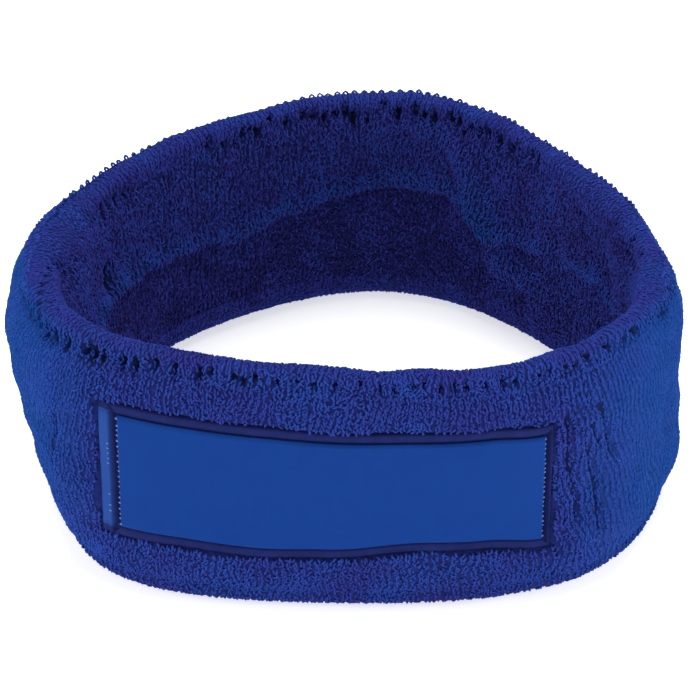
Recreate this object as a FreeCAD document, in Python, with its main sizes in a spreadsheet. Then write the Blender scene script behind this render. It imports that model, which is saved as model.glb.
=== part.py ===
import FreeCAD, Part
import math
import os

# A terry sports headband that stands on its lower edge. It is knitted as one tube and folded
# double: a pile ply outside, two pile plies inside that meet at a linked seam half way up, and
# a rolled welt along the top and the bottom edge. Covered elastic lies inside. A satin label
# is stitched into a pile-free window at the front.
# +Z is up, +Y is the back of the head and +X is the wearer's left, so the label looks along
# -Y. The origin is the middle of the footprint, on the plane that the band stands on.

doc = FreeCAD.newDocument("Headband")

# ---------------------------------------------------------------- driving dimensions, in mm

SIZES = {
    "band_height": 50.0,
    "half_width": 58.0,
    "plan_shift_x": 0.6,
    "plan_shift_y": -9.1,
    "welt_height": 4.5,
    "welt_half": 2.5,
    "welt_crest_half": 0.9,
    "channel_half": 0.9,
    "channel_height": 2.7,
    "cavity_half": 0.6,
    "ply_middle": 3.0,
    "outer_bulge": 2.4,
    "left_fold_bulge": 4.8,
    "left_fold_flatness": 2.3,
    "inner_bulge": 1.0,
    "seam_height": 3.0,
    "seam_crest": 3.7,
    "seam_foot": 2.9,
    "thread_radius": 0.3,
    "thread_length": 2.4,
    "welt_elastic_half": 0.6,
    "welt_elastic_height": 2.0,
    "yarn_radius": 0.35,
    "yarn_lowest": 9.0,
    "yarn_pitch": 4.2,
    "label_left": -41.4,
    "label_right": 35.6,
    "label_low": 14.8,
    "label_high": 37.0,
    "hem_width": 1.8,
    "hem_left_width": 4.0,
    "hem_right_width": 1.2,
    "window_depth": 1.4,
    "ground_thickness": 0.5,
    "backing_thickness": 0.3,
    "face_thickness": 0.5,
    "hem_thickness": 0.4,
    "label_gap": 0.2,
    "stitch_radius": 0.12,
    "stitch_length": 0.6,
    "stitch_pitch": 1.2,
    "stitch_inset": 0.6,
    "clearance": 0.02,
}

# The band's centre line in plan is a closed cubic B-spline. These are its control points, front
# first and then anticlockwise, for the top and the bottom edge. The left wall leans in towards
# the floor, so the two edges differ.
STATIONS = ("front", "front_right", "right", "back_right", "back", "back_left", "left", "front_left")
TOP_EDGE = ((4.9, -52.9), (34.9, -50.6), (66.1, -16.0), (44.6, 35.9),
            (13.6, 80.0), (-47.4, 40.3), (-63.1, -4.9), (-51.0, -41.2))
BOTTOM_EDGE = ((-5.0, -49.8), (45.9, -48.6), (67.5, 2.0), (46.2, 47.3),
               (7.9, 82.2), (-50.9, 43.6), (-47.9, 9.8), (-54.4, -44.7))

SAMPLES = 48
LABEL_SAMPLES = 13
HALVINGS = 40
YARN_COUNT = 8
SEAM_BARS = 112

sheet = doc.addObject("Spreadsheet::Sheet", "Sizes")
row = 1


def set_cell(alias, value):
    """Writes one plain number to the sheet under its alias."""
    global row
    sheet.set("A%d" % row, alias)
    sheet.set("B%d" % row, str(value))
    sheet.setAlias("B%d" % row, alias)
    row += 1


for alias, value in SIZES.items():
    set_cell(alias, value)
for edge, places in (("top", TOP_EDGE), ("bottom", BOTTOM_EDGE)):
    for station, (x, y) in zip(STATIONS, places):
        set_cell("%s_%s_x" % (edge, station), x)
        set_cell("%s_%s_y" % (edge, station), y)
doc.recompute()


def size(alias):
    """One driving dimension, read back from the sheet."""
    return float(sheet.get(alias))


HEIGHT = size("band_height")
WELT = size("welt_height")
HALF = size("welt_half")
CAVITY = size("cavity_half")
MIDDLE = HEIGHT / 2

# ---------------------------------------------------------------- the band's path and section


def control_points(edge):
    """The control points of one edge's centre line."""
    points = []
    for station in STATIONS:
        x = size("%s_%s_x" % (edge, station)) + size("plan_shift_x")
        y = size("%s_%s_y" % (edge, station)) + size("plan_shift_y")
        points.append(FreeCAD.Vector(x, y, 0))
    return points


top_points = control_points("top")
bottom_points = control_points("bottom")


def spline_place(points, turn):
    """The point and the run of a closed uniform cubic B-spline, at a share of one turn."""
    first = math.floor(turn * len(points))
    t = turn * len(points) - first
    weights = ((1 - t) ** 3, 3 * t ** 3 - 6 * t ** 2 + 4, -3 * t ** 3 + 3 * t ** 2 + 3 * t + 1, t ** 3)
    slopes = (-3 * (1 - t) ** 2, 9 * t ** 2 - 12 * t, -9 * t ** 2 + 6 * t + 3, 3 * t ** 2)
    place = FreeCAD.Vector(0, 0, 0)
    run = FreeCAD.Vector(0, 0, 0)
    for step in range(4):
        point = points[(first + step - 1) % len(points)]
        place += point * (weights[step] / 6)
        run += point * (slopes[step] / 6)
    return place, run


def path(turn, height):
    """The wall's centre and its outward normal, at a share of one turn and a height."""
    lean = (height - WELT / 2) / (HEIGHT - WELT)
    lean = min(max(lean, 0.0), 1.0)
    high, high_run = spline_place(top_points, turn)
    low, low_run = spline_place(bottom_points, turn)
    centre = low * (1 - lean) + high * lean
    run = low_run * (1 - lean) + high_run * lean
    outward = FreeCAD.Vector(run.y, -run.x, 0)
    outward.normalize()
    centre.z = height
    return centre, outward


def swell(share, flatness=4.0):
    """0 at both ends of a ply and nearly 1 between them: a padded ply's flat-topped bulge."""
    return 1 - abs(2 * share - 1) ** flatness


def face_offset(centre, height):
    """How far the outer face stands off the centre line. The folded left side bulges more."""
    share = (height - WELT) / (HEIGHT - 2 * WELT)
    leftness = max(0.0, -centre.x / size("half_width"))
    bulge = size("outer_bulge") + size("left_fold_bulge") * leftness ** 4
    return HALF + bulge * swell(share, 4 + size("left_fold_flatness") * leftness ** 2)


def back_offset(centre, height):
    """The hidden back of the outer ply, which keeps the ply's own thickness."""
    share = (height - WELT) / (HEIGHT - 2 * WELT)
    thin = HALF - CAVITY
    thickness = thin + (size("ply_middle") - thin) * swell(share)
    return face_offset(centre, height) - thickness


def fixed(distance):
    """An offset rule that keeps one distance from the centre line."""
    return lambda centre, height: distance


def below_face(depth):
    """An offset rule that follows the outer face at a depth under it."""
    return lambda centre, height: face_offset(centre, height) - depth


def outline(name, height, rule):
    """One level closed curve round the band, at an offset. It starts and ends at the back."""
    points = []
    for number in range(SAMPLES):
        centre, outward = path(number / SAMPLES + 0.5, height)
        points.append(centre + outward * rule(centre, height))
    curve = Part.BSplineCurve()
    curve.interpolate(Points=points, PeriodicFlag=True)
    feature = doc.addObject("Part::Feature", name)
    feature.Shape = Part.Wire([curve.toShape()])
    return feature


def stack(name, levels, ruled=False):
    """A solid through level curves. Each level is a height and an offset rule."""
    loft = doc.addObject("Part::Loft", name)
    loft.Sections = [outline(name + "_level", height, rule) for height, rule in levels]
    loft.Solid = True
    loft.Ruled = ruled
    return loft


def cut(name, base, tool):
    feature = doc.addObject("Part::Cut", name)
    feature.Base = base
    feature.Tool = tool
    return feature


def group(name, members):
    feature = doc.addObject("Part::Compound", name)
    feature.Links = members
    return feature


def ring(name, heights, outer_rule, inner_rule, ruled=False):
    """A closed wall between two offset rules."""
    outside = stack(name + "_outside", [(height, outer_rule) for height in heights], ruled)
    inside = stack(name + "_inside", [(height, inner_rule) for height in heights], ruled)
    return cut(name, outside, inside)


def between(low, high, shares):
    """Heights at the given shares of the way from low to high."""
    return [low + (high - low) * share for share in shares]


# ---------------------------------------------------------------- the knitted body


def outer_terry_ply():
    """The pile ply outside, with the window that the label sits in."""
    heights = between(WELT, HEIGHT - WELT, (0, 0.12, 0.3, 0.5, 0.7, 0.88, 1))
    ply = ring("outer_ply_wall", heights, face_offset, back_offset)
    window = label_slab("label_window", -2 * WINDOW_DEPTH, WINDOW_DEPTH, WINDOW)
    return cut("outer_terry_ply", ply, window)


def inner_terry_ply(name, low, high):
    """Half of the pile ply inside, between a welt and the seam."""

    def pile_offset(centre, height):
        share = (height - low) / (high - low)
        return -(HALF + size("inner_bulge") * swell(share))

    heights = between(low, high, (0, 0.2, 0.5, 0.8, 1))
    return ring(name, heights, fixed(-CAVITY), pile_offset)


def welt(name, edge, direction):
    """A rolled edge, open along its hidden side so that the elastic lies inside it."""
    crest = size("welt_crest_half")
    shape = ((0.0, HALF), (0.33, HALF), (0.64, 0.92 * HALF), (0.89, 0.6 * HALF), (1.0, crest))
    start = edge - direction * WELT
    levels = sorted((start + direction * WELT * share, half) for share, half in shape)
    outside = stack(name + "_outside", [(height, fixed(half)) for height, half in levels])
    inside = stack(name + "_inside", [(height, fixed(-half)) for height, half in levels])
    wall = cut(name + "_wall", outside, inside)
    half = size("channel_half")
    heights = sorted((start, start + direction * size("channel_height")))
    channel = ring(name + "_channel", heights, fixed(half), fixed(-half), ruled=True)
    return cut(name, wall, channel)


def seam_selvedge(name, foot, crest):
    """One of the two selvedges that are linked into the ridge inside."""
    levels = sorted(((foot, size("seam_foot")), (crest, size("seam_crest"))))
    outside = stack(name + "_outside", [(height, fixed(-CAVITY)) for height, offset in levels])
    inside = stack(name + "_inside", [(height, fixed(-offset)) for height, offset in levels])
    return cut(name, outside, inside)


def thread_bar(name, radius_alias, length_alias, start, direction):
    """One straight stitch, with its sizes bound to the sheet."""
    bar = doc.addObject("Part::Cylinder", name)
    bar.setExpression("Radius", "Sizes." + radius_alias)
    bar.setExpression("Height", "Sizes." + length_alias)
    turn = FreeCAD.Rotation(FreeCAD.Vector(0, 0, 1), direction)
    bar.Placement = FreeCAD.Placement(start, turn)
    return bar


def seam_overlock_thread():
    """The stitches over the ridge: short upright bars, evenly spaced along it."""
    upright = FreeCAD.Vector(0, 0, 1)
    start_drop = upright * (size("thread_length") / 2)
    stand_off = size("seam_crest") + size("thread_radius") + size("clearance")
    bars = []
    for number in range(SEAM_BARS):
        centre, outward = path(number / SEAM_BARS, MIDDLE)
        start = centre - outward * stand_off - start_drop
        bars.append(thread_bar("seam_bar", "thread_radius", "thread_length", start, upright))
    return group("seam_overlock_thread", bars)


# ---------------------------------------------------------------- the elastic inside


def yarn_ring(name, height, half_width, half_height):
    """One covered elastic yarn laid round the band, with its corners taken off."""
    levels = ((-1.0, 0.45), (-0.45, 1.0), (0.45, 1.0), (1.0, 0.45))
    outside = []
    inside = []
    for rise, spread in levels:
        outside.append((height + rise * half_height, fixed(spread * half_width)))
        inside.append((height + rise * half_height, fixed(-spread * half_width)))
    return cut(name, stack(name + "_outside", outside, True), stack(name + "_inside", inside, True))


def welt_elastic(name, height):
    return yarn_ring(name, height, size("welt_elastic_half"), size("welt_elastic_height") / 2)


def body_elastic_yarns():
    """The thinner yarns between the plies, as one group of separate rings."""
    radius = size("yarn_radius")
    rings = []
    for number in range(YARN_COUNT):
        height = size("yarn_lowest") + number * size("yarn_pitch")
        rings.append(yarn_ring("body_yarn", height, radius, radius))
    return group("body_elastic_yarns", rings)


# ---------------------------------------------------------------- the label

LABEL_LEFT = size("label_left")
LABEL_RIGHT = size("label_right")
LABEL_LOW = size("label_low")
LABEL_HIGH = size("label_high")
GAP = size("label_gap")
HEM = size("hem_width")
WINDOW_DEPTH = size("window_depth")
GROUND_TOP = WINDOW_DEPTH - size("ground_thickness")
BACKING_TOP = GROUND_TOP - size("backing_thickness")
FACE_TOP = BACKING_TOP - size("face_thickness")

# Each is left, right, low and high.
PANEL = (LABEL_LEFT, LABEL_RIGHT, LABEL_LOW, LABEL_HIGH)
PANEL_AND_GAP = (LABEL_LEFT - GAP, LABEL_RIGHT + GAP, LABEL_LOW - GAP, LABEL_HIGH + GAP)
WINDOW = (LABEL_LEFT - size("hem_left_width"), LABEL_RIGHT + size("hem_right_width"),
          LABEL_LOW - HEM, LABEL_HIGH + HEM)


def front_turn(x, height):
    """The share of a turn, below 0 left of the front station, where the outer face is at x."""
    low = -2 / len(STATIONS)
    high = 2 / len(STATIONS)
    for halving in range(HALVINGS):
        turn = (low + high) / 2
        centre, outward = path(turn, height)
        if (centre + outward * face_offset(centre, height)).x < x:
            low = turn
        else:
            high = turn
    return turn


def label_level(name, height, left, right, top_depth, bottom_depth):
    """A level section of a label piece: two curves along the face, closed at both ends."""
    first = front_turn(left, height)
    last = front_turn(right, height)
    rows = []
    for depth in (top_depth, bottom_depth):
        rule = below_face(depth)
        points = []
        for number in range(LABEL_SAMPLES):
            turn = first + (last - first) * number / (LABEL_SAMPLES - 1)
            centre, outward = path(turn, height)
            points.append(centre + outward * rule(centre, height))
        rows.append(points)
    curves = []
    for points in rows:
        curve = Part.BSplineCurve()
        curve.interpolate(Points=points)
        curves.append(curve.toShape())
    left_end = Part.makeLine(rows[0][0], rows[1][0])
    right_end = Part.makeLine(rows[0][-1], rows[1][-1])
    feature = doc.addObject("Part::Feature", name)
    feature.Shape = Part.Wire([curves[0], right_end, curves[1], left_end])
    return feature


def label_slab(name, top_depth, bottom_depth, bounds):
    """A curved slab that follows the outer face between two depths under it."""
    left, right, low, high = bounds
    loft = doc.addObject("Part::Loft", name)
    loft.Sections = [label_level(name + "_level", height, left, right, top_depth, bottom_depth)
                     for height in between(low, high, (0, 0.25, 0.5, 0.75, 1))]
    loft.Solid = True
    return loft


def label_ground():
    """The pile-free knit at the bottom of the window."""
    return label_slab("label_ground", GROUND_TOP, WINDOW_DEPTH, WINDOW)


def label_backing():
    """The adhesive interlining that stiffens the satin."""
    return label_slab("label_backing", BACKING_TOP, GROUND_TOP, PANEL)


def label_face():
    """The satin panel."""
    return label_slab("label_face", FACE_TOP, BACKING_TOP, PANEL)


def label_hem():
    """The stitched-down margin round the panel, a groove away from it."""
    top = GROUND_TOP - size("hem_thickness")
    slab = label_slab("label_hem_slab", top, GROUND_TOP, WINDOW)
    opening = label_slab("label_hem_opening", top - 1, GROUND_TOP + 1, PANEL_AND_GAP)
    return cut("label_hem", slab, opening)


def label_stitching():
    """The thread nodules down both ends of the satin panel, as one group."""
    pitch = size("stitch_pitch")
    length = size("stitch_length")
    inset = size("stitch_inset")
    lift = size("stitch_radius") + size("clearance") - FACE_TOP
    count = int((LABEL_HIGH - LABEL_LOW) / pitch) - 1
    bars = []
    for column in (LABEL_LEFT + inset, LABEL_RIGHT - inset):
        for number in range(count):
            height = LABEL_LOW + pitch * (number + 1)
            centre, outward = path(front_turn(column, height), height)
            run = FreeCAD.Vector(-outward.y, outward.x, 0)
            start = centre + outward * (face_offset(centre, height) + lift) - run * (length / 2)
            bars.append(thread_bar("label_bar", "stitch_radius", "stitch_length", start, run))
    return group("label_stitching", bars)


# ---------------------------------------------------------------- assembly

seam_low = MIDDLE - size("seam_height") / 2
seam_high = MIDDLE + size("seam_height") / 2
elastic_inset = WELT - size("channel_height") / 2

nodes = [
    outer_terry_ply(),
    inner_terry_ply("inner_terry_upper", seam_high, HEIGHT - WELT),
    inner_terry_ply("inner_terry_lower", WELT, seam_low),
    welt("top_welt", HEIGHT, 1),
    welt("bottom_welt", 0.0, -1),
    seam_selvedge("seam_selvedge_upper", seam_high, MIDDLE),
    seam_selvedge("seam_selvedge_lower", seam_low, MIDDLE),
    seam_overlock_thread(),
    welt_elastic("top_welt_elastic", HEIGHT - elastic_inset),
    welt_elastic("bottom_welt_elastic", elastic_inset),
    body_elastic_yarns(),
    label_ground(),
    label_backing(),
    label_face(),
    label_hem(),
    label_stitching(),
]
doc.recompute()

for item in doc.Objects:
    if "Invalid" in item.State or "Error" in item.State:
        raise RuntimeError("%s failed: %s" % (item.Label, item.State))
for node in nodes:
    if node.Shape.isNull() or not node.Shape.isValid():
        raise RuntimeError("%s has no valid shape" % node.Label)

os.makedirs("parts", exist_ok=True)
for node in nodes:
    node.Shape.exportStep("parts/%s.step" % node.Label)
    box = node.Shape.optimalBoundingBox(False)
    print("%-22s solids %3d  volume %9.1f  x %.2f..%.2f  y %.2f..%.2f  z %.2f..%.2f" % (
        node.Label, len(node.Shape.Solids), node.Shape.Volume,
        box.XMin, box.XMax, box.YMin, box.YMax, box.ZMin, box.ZMax))
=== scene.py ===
import math

import bpy
import numpy as np
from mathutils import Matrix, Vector


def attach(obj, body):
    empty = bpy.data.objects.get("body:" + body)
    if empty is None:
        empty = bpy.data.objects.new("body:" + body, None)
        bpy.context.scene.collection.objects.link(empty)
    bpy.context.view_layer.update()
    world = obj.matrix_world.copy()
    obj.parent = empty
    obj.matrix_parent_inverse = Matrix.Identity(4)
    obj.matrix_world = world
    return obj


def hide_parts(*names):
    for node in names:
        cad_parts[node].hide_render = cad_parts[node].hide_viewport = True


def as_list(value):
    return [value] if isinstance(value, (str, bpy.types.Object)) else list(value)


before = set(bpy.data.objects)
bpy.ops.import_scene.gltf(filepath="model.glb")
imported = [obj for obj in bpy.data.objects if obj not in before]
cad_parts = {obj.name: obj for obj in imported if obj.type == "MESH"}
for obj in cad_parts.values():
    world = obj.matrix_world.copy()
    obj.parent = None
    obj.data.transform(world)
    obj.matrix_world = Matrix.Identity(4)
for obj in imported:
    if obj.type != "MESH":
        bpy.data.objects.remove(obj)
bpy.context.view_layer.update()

# The headband stands on its lower edge. Lengths here are in millimetres, and a mesh is made in
# metres at the end. "around" is the distance along the band's mid-height line, 0 at the front and
# positive towards +X. "height" is above the floor. An offset is outward from the wall's centre.

MM = 0.001
rng = np.random.default_rng(20)

# ------------------------------ the band's path

BAND_HEIGHT = 50.0
WELT_HEIGHT = 4.5
WELT_HALF = 2.5
CLOTH_LOW = WELT_HEIGHT - 0.5
CLOTH_HIGH = BAND_HEIGHT - WELT_HEIGHT + 0.5
# control points of the wall's centre line in plan, along its upper and its lower edge
PLAN_SHIFT = np.array([0.6, -9.1])
TOP_EDGE = np.array([(4.9, -52.9), (34.9, -50.6), (66.1, -16.0), (44.6, 35.9),
                     (13.6, 80.0), (-47.4, 40.3), (-63.1, -4.9), (-51.0, -41.2)]) + PLAN_SHIFT
BOTTOM_EDGE = np.array([(-5.0, -49.8), (45.9, -48.6), (67.5, 2.0), (46.2, 47.3),
                        (7.9, 82.2), (-50.9, 43.6), (-47.9, 9.8), (-54.4, -44.7)]) + PLAN_SHIFT
# how much thicker the wall is at the floor, by distance round the band
FLOOR_MORE = ((-184, 1.2), (-150, 2.6), (-135, 2.5), (-110, 0.4), (-76, -0.5), (-60, 0.0), (-50, 1.8),
              (-35, 1.5), (0, 1.1), (30, 1.2), (40, 2.7), (50, 2.3), (66, 0.3), (80, -0.4), (110, 0.8),
              (150, 1.8), (184, 1.2))
# how far up that goes
FLOOR_REACH = 22
# where the upper edge is fuller: distance round the band, half the stretch, and how much
RIM_CORNERS = ((-96, 13, 2.3), (84, 12, 1.4), (118, 16, 1.1))
# how far the upper edge wanders up and down, by distance round the band
RIM_LIFT = ((-184, -0.2), (-170, 0.1), (-150, 0.3), (-135, 0.2), (-115, -0.9), (-100, -0.6), (-85, 0.0),
            (-60, -0.3), (-35, 0.35), (0, 0.25), (30, 0.25), (60, -0.2), (90, 0.0), (105, 0.1), (117, 1.1),
            (130, 0.2), (150, 0.2), (165, 0.1), (184, -0.2))
# how far the outer face stands out at mid-height, how much further at the slack left end, and how
# far left that end is
FACE_SWELL = 2.4
LEFT_SWELL = 5.2
LEFT_END = 58.0


def spline(points, turn):
    """Places and runs of a closed uniform cubic B-spline at shares of one turn."""
    first = np.floor(turn * len(points)).astype(int)
    t = turn * len(points) - first
    weights = ((1 - t) ** 3, 3 * t ** 3 - 6 * t ** 2 + 4, -3 * t ** 3 + 3 * t ** 2 + 3 * t + 1, t ** 3)
    slopes = (-3 * (1 - t) ** 2, 9 * t ** 2 - 12 * t, -9 * t ** 2 + 6 * t + 3, 3 * t ** 2)
    place = run = 0
    for step in range(4):
        point = points[(first + step - 1) % len(points)]
        place = place + point * (weights[step] / 6)[..., None]
        run = run + point * (slopes[step] / 6)[..., None]
    return place, run


def wall_centre(turn, height):
    """The wall's centre and its outward normal in plan."""
    lean = np.clip((height - WELT_HEIGHT / 2) / (BAND_HEIGHT - WELT_HEIGHT), 0, 1)[..., None]
    high, high_run = spline(TOP_EDGE, turn)
    low, low_run = spline(BOTTOM_EDGE, turn)
    run = low_run * (1 - lean) + high_run * lean
    outward = np.stack([run[..., 1], -run[..., 0]], -1)
    outward /= np.linalg.norm(outward, axis=-1, keepdims=True)
    return low * (1 - lean) + high * lean, outward


# distance round the band at even steps of the turn
table_turn = np.linspace(-0.5, 0.5, 4097)
table_place = wall_centre(table_turn, np.full(table_turn.shape, BAND_HEIGHT / 2))[0]
table_length = np.concatenate([[0], np.cumsum(np.linalg.norm(np.diff(table_place, axis=0), axis=1))])
ROUND = table_length[-1]
table_length -= np.interp(0, table_turn, table_length)


def turn_of(around):
    """The share of a turn at a distance round the band."""
    low = table_length[0]
    return np.interp((around - low) % ROUND + low, table_length, table_turn)


def place(around, height, offset):
    """A point of the wall: distance round it, height, and offset outward from its centre."""
    centre, outward = wall_centre(turn_of(around), height)
    spot = centre + outward * np.asarray(offset)[..., None]
    return np.concatenate([spot, np.broadcast_to(height, spot.shape[:-1])[..., None]], -1)


def swell(share, flatness=4.0):
    """1 half way and 0 at both ends, with a flatter middle for a higher flatness."""
    return 1 - np.abs(2 * np.clip(share, 0, 1) - 1) ** flatness


def bump(value, middle, half):
    """A smooth ridge, 1 in the middle and 0 beyond half its width."""
    return np.clip(1 - ((value - middle) / half) ** 2, 0, None)


def along_band(around, table):
    """A table's value at a distance round the band, from its pairs of distance and value."""
    places, values = zip(*table)
    return np.interp(around, places, values)


def leftness(around, height):
    """0 on the right half and about 1 at the left end."""
    return np.clip(-wall_centre(turn_of(around), height)[0][..., 0] / LEFT_END, 0, None)


def welt_half(around, height):
    """Half the wall's thickness at a rolled edge, and the base of both faces between the edges. It is
    fuller at the left end, at the floor and at the rim's corners."""
    at_floor = np.clip(1 - height / FLOOR_REACH, 0, 1) * along_band(around, FLOOR_MORE)
    corners = sum(more * bump(around, middle, half) for middle, half, more in RIM_CORNERS)
    corners = corners * np.clip(height / (BAND_HEIGHT / 2) - 1, 0, 1)
    return WELT_HALF + leftness(around, height) ** 4 + corners + at_floor


def face_offset(around, height):
    """How far the outer face stands off the wall's centre."""
    left_end = leftness(around, height)
    share = (height - WELT_HEIGHT) / (BAND_HEIGHT - 2 * WELT_HEIGHT)
    slack = LEFT_SWELL + 0.6 * (share - 0.5) - 0.8 * bump(height, 9, 10)
    full = FACE_SWELL + slack * left_end ** 4
    steep = 3.0 * np.clip(1 - left_end ** 2, 0, 1) * (share < 0.5)
    return welt_half(around, height) + full * swell(share, 4 - 0.4 * left_end ** 2 + steep)


TABLE_ROWS = 240
TABLE_STEPS = 160


def cloth_heights(rule, low, high):
    """A lookup from distance round the band and share of the way up the cloth to height, and the
    cloth's mean length from low to high."""
    rows = np.linspace(-ROUND / 2, ROUND / 2, TABLE_ROWS + 1)
    heights = np.linspace(low, high, TABLE_STEPS)
    around, height = np.meshgrid(rows, heights, indexing="ij")
    step = np.hypot(np.diff(rule(around, height), axis=1), np.diff(height, axis=1))
    length = np.concatenate([np.zeros((len(rows), 1)), np.cumsum(step, axis=1)], 1)
    shares = np.linspace(0, 1, TABLE_STEPS)
    table = np.array([np.interp(shares * line[-1], line, heights) for line in length])

    def height_at(around, share):
        u = np.clip((around / ROUND + 0.5) % 1 * TABLE_ROWS, 0, TABLE_ROWS - 0.001)
        v = np.clip(share, 0, 0.99999) * (TABLE_STEPS - 1)
        i, j = u.astype(int), v.astype(int)
        u, v = u - i, v - j
        low_row = (1 - v) * table[i, j] + v * table[i, j + 1]
        high_row = (1 - v) * table[i + 1, j] + v * table[i + 1, j + 1]
        return (1 - u) * low_row + u * high_row

    return height_at, length[:, -1].mean()


def eased(at, places, values):
    """Values between places, with smooth turns."""
    places, values = np.array(places), np.array(values)
    first = np.clip(np.searchsorted(places, at) - 1, 0, len(places) - 2)
    share = np.clip((at - places[first]) / (places[first + 1] - places[first]), 0, 1)
    share = share * share * (3 - 2 * share)
    return values[first] * (1 - share) + values[first + 1] * share


def waves(seed, size, count=24):
    """A smooth random field over (around, height), with lumps of about this size."""
    draw = np.random.default_rng(seed)
    angle = draw.uniform(0, 2 * np.pi, count)
    length = size * draw.uniform(0.7, 1.6, count)
    turns = np.round(np.cos(angle) * ROUND / length)
    rise = np.sin(angle) * 2 * np.pi / length
    phase = draw.uniform(0, 2 * np.pi, count)

    def field(around, height):
        total = 0
        for k in range(count):
            total = total + np.cos(2 * np.pi * turns[k] * around / ROUND + rise[k] * height + phase[k])
        return total / math.sqrt(count / 2)

    return field


# ------------------------------ meshes


def link(thing):
    """Puts a new object into the scene."""
    bpy.context.scene.collection.objects.link(thing)
    return thing


def make_mesh(name, points, polygons, corner_uv=None, shades=None):
    """An object from points in mm and a list of polygon index arrays (each with its own size)."""
    mesh = bpy.data.meshes.new(name)
    mesh.vertices.add(len(points))
    mesh.vertices.foreach_set("co", (points * MM).astype(np.float32).ravel())
    corners = np.concatenate([p.ravel() for p in polygons])
    sizes = np.concatenate([np.full(len(p), p.shape[1]) for p in polygons])
    mesh.loops.add(len(corners))
    mesh.loops.foreach_set("vertex_index", corners.astype(np.int32))
    mesh.polygons.add(len(sizes))
    starts = np.concatenate([[0], np.cumsum(sizes)[:-1]])
    mesh.polygons.foreach_set("loop_start", starts.astype(np.int32))
    mesh.polygons.foreach_set("use_smooth", np.ones(len(sizes), bool))
    if corner_uv is not None:
        layer = mesh.uv_layers.new(name="OFBake")
        layer.data.foreach_set("uv", corner_uv.astype(np.float32).ravel())
    for shade, values in (shades or {}).items():
        layer = mesh.attributes.new(shade, "FLOAT", "POINT")
        layer.data.foreach_set("value", values.astype(np.float32).ravel())
    mesh.update(calc_edges=True)
    return link(bpy.data.objects.new(name, mesh))


def grid_quads(rows, columns, close_rows, close_columns):
    """Quads of a grid of points, closed in either direction or not."""
    i = np.arange(rows if close_rows else rows - 1)
    j = np.arange(columns if close_columns else columns - 1)
    i, j = np.meshgrid(i, j, indexing="ij")
    ni, nj = (i + 1) % rows, (j + 1) % columns
    quads = np.stack([i * columns + j, ni * columns + j, ni * columns + nj, i * columns + nj], -1)
    uv = np.stack([np.stack([a / rows, b / columns], -1)
                   for a, b in ((i, j), (i + 1, j), (i + 1, j + 1), (i, j + 1))], -2)
    return quads.reshape(-1, 4), uv.reshape(-1, 4, 2)


def volume(points, quads):
    """Six times the volume inside the quads, negative where they face inward."""
    a, b, c, d = (points[quads[:, k]] for k in range(4))
    return (a * np.cross(b, c)).sum() + (a * np.cross(c, d)).sum()


def ring_solid(name, points, shades):
    """A closed ring: points[i, j] with i round the band and j round the section."""
    rows, columns = points.shape[:2]
    flat = points.reshape(-1, 3)
    quads, uv = grid_quads(rows, columns, True, True)
    if volume(flat, quads) < 0:
        quads, uv = quads[:, ::-1], uv[:, ::-1]
    return make_mesh(name, flat, [quads], uv.reshape(-1, 2), shades)


# a yarn tube's rings and sides, the tone strips of its texture space, and how deep its feet go
RINGS = 5
SIDES = 4
TONES = 64
ROOT_SINK = 0.2
bend = np.linspace(0, np.pi, RINGS)


def yarn_loops(name, frame_of, width, tall, lean, radius, tone):
    """Arches of yarn. frame_of holds base points, the way across each loop, its lean and the normal."""
    base, across, down, normal = frame_of
    foot = (width / 2)[:, None] * np.cos(bend) * (1 + 0.35 * np.sin(bend))
    rise = tall[:, None] * np.sin(bend) ** 0.8 - ROOT_SINK
    droop = lean[:, None] * np.sin(bend)
    line = (base[:, None] + across[:, None] * foot[..., None] + normal[:, None] * rise[..., None]
            + down[:, None] * droop[..., None])
    binormal = np.cross(across, normal * tall[:, None] + down * lean[:, None])
    return tubes(name, line, binormal, radius, tone)


def tubes(name, line, binormal, radius, tone):
    """Closed tubes along line[n, k], with a binormal and a tone from 0 to 1 for each."""
    count, rings = line.shape[:2]
    run = np.gradient(line, axis=1)
    run /= np.linalg.norm(run, axis=-1, keepdims=True)
    side = binormal[:, None] - run * (run * binormal[:, None]).sum(-1, keepdims=True)
    side /= np.linalg.norm(side, axis=-1, keepdims=True)
    out = np.cross(side, run)
    angle = np.arange(SIDES) * 2 * np.pi / SIDES
    spread = np.asarray(radius).reshape(count, -1, 1, 1)
    points = line[:, :, None] + spread * (out[:, :, None] * np.cos(angle)[:, None]
                                          + side[:, :, None] * np.sin(angle)[:, None])
    quads, uv = grid_quads(rings, SIDES, False, True)
    quads = quads[:, ::-1]
    uv = uv[:, ::-1]
    step = rings * SIDES
    first = (np.arange(count) * step)[:, None]
    all_quads = (quads[None] + first[..., None]).reshape(-1, 4)
    cap = np.arange(SIDES)
    strip = np.floor(np.clip(tone, 0, 0.999) * TONES) / TONES
    loop_u = strip[:, None, None] + (0.1 + 0.8 * uv[None, :, :, 1]) / TONES
    loop_v = np.broadcast_to(uv[None, :, :, 0] * rings / (rings - 1), loop_u.shape)
    side_uv = np.stack([loop_u, loop_v], -1).reshape(-1, 2)
    cap_uv = np.repeat(np.stack([strip + 0.5 / TONES, np.zeros(count)], -1), SIDES, 0)
    corner_uv = np.concatenate([side_uv, cap_uv, cap_uv])
    caps = [first + cap[::-1], first + cap + step - SIDES]
    return make_mesh(name, points.reshape(-1, 3), [all_quads, *caps], corner_uv)


# ------------------------------ materials


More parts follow.
